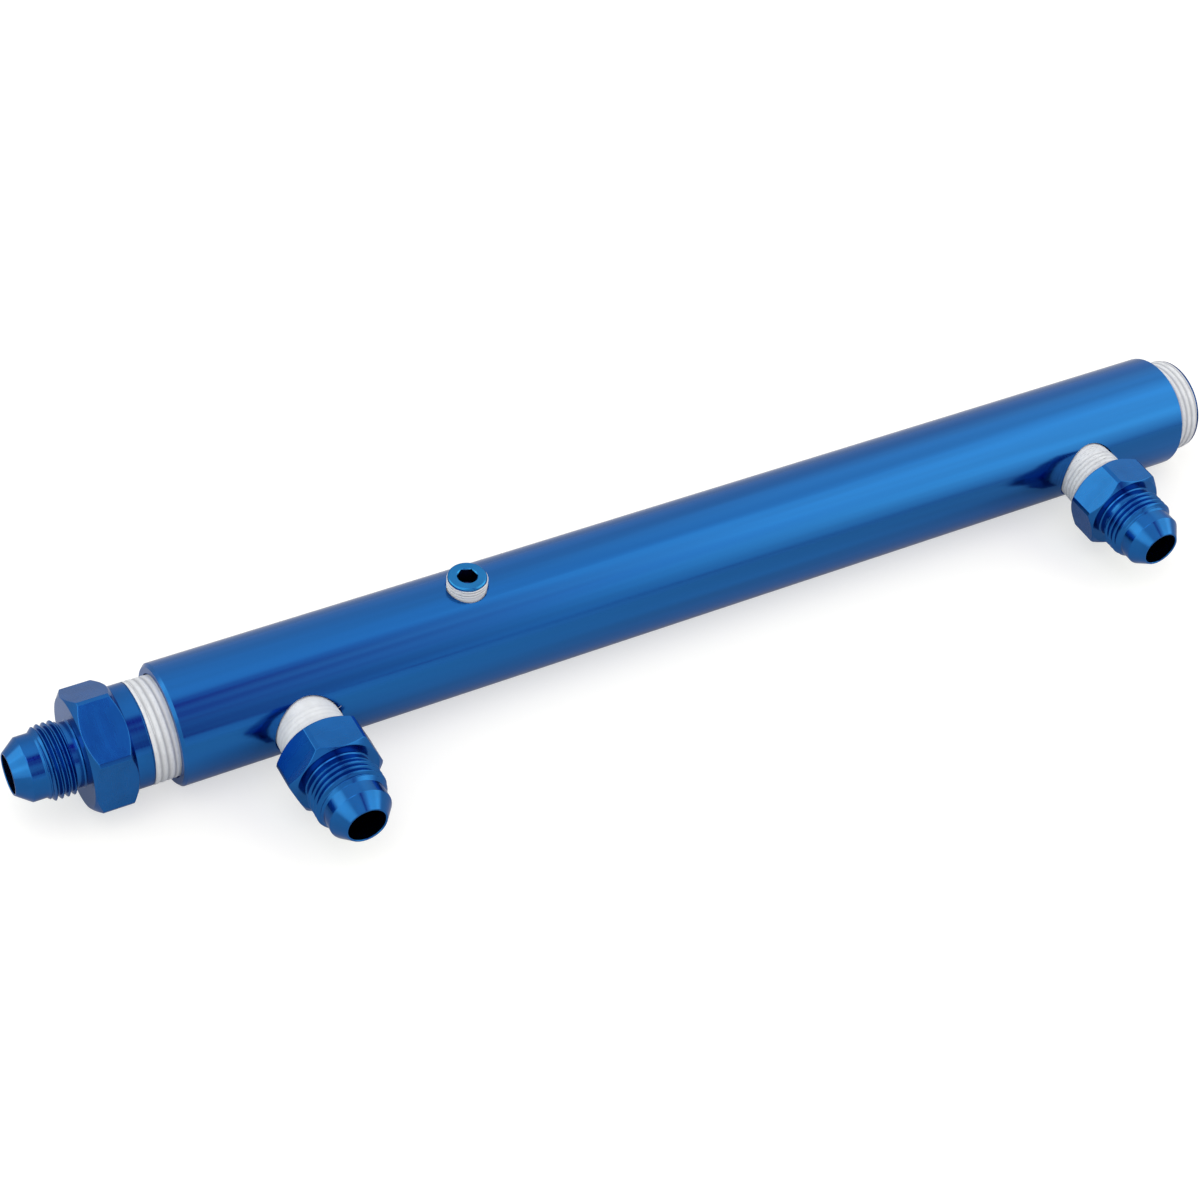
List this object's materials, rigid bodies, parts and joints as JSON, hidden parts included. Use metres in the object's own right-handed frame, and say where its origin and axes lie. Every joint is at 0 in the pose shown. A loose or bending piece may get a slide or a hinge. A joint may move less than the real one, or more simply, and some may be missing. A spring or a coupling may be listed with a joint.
{
  "type": "carburetor fuel log",
  "caption": "Round tubular fuel log with a taped flare inlet in one end, a socket plug in the other, flare outlets along its front and a small gauge port plug on top.",
  "frame": {"origin": "on the tube's axis, half way along the full-diameter hose thread of the inlet adapter", "axes": "+X along the tube from the inlet to the plugged end, -Y the way the two outlets point, +Z the way the gauge plug points"},
  "size_m": [0.3547, 0.0657, 0.0355],
  "materials": {
    "tube": "satin blue anodised",
    "adapter": "bright blue anodised",
    "plug": "dark blue anodised",
    "thread_tape": "matte white tape"
  },
  "bodies": {
    "root": {"log_tube": "tube", "inlet_adapter": "adapter", "inlet_tape": "thread_tape", "left_outlet_adapter": "adapter", "left_outlet_tape": "thread_tape", "right_outlet_adapter": "adapter", "right_outlet_tape": "thread_tape", "gauge_plug": "plug", "gauge_plug_tape": "thread_tape", "end_plug": "plug", "end_plug_tape": "thread_tape"}
  },
  "joints": []
}
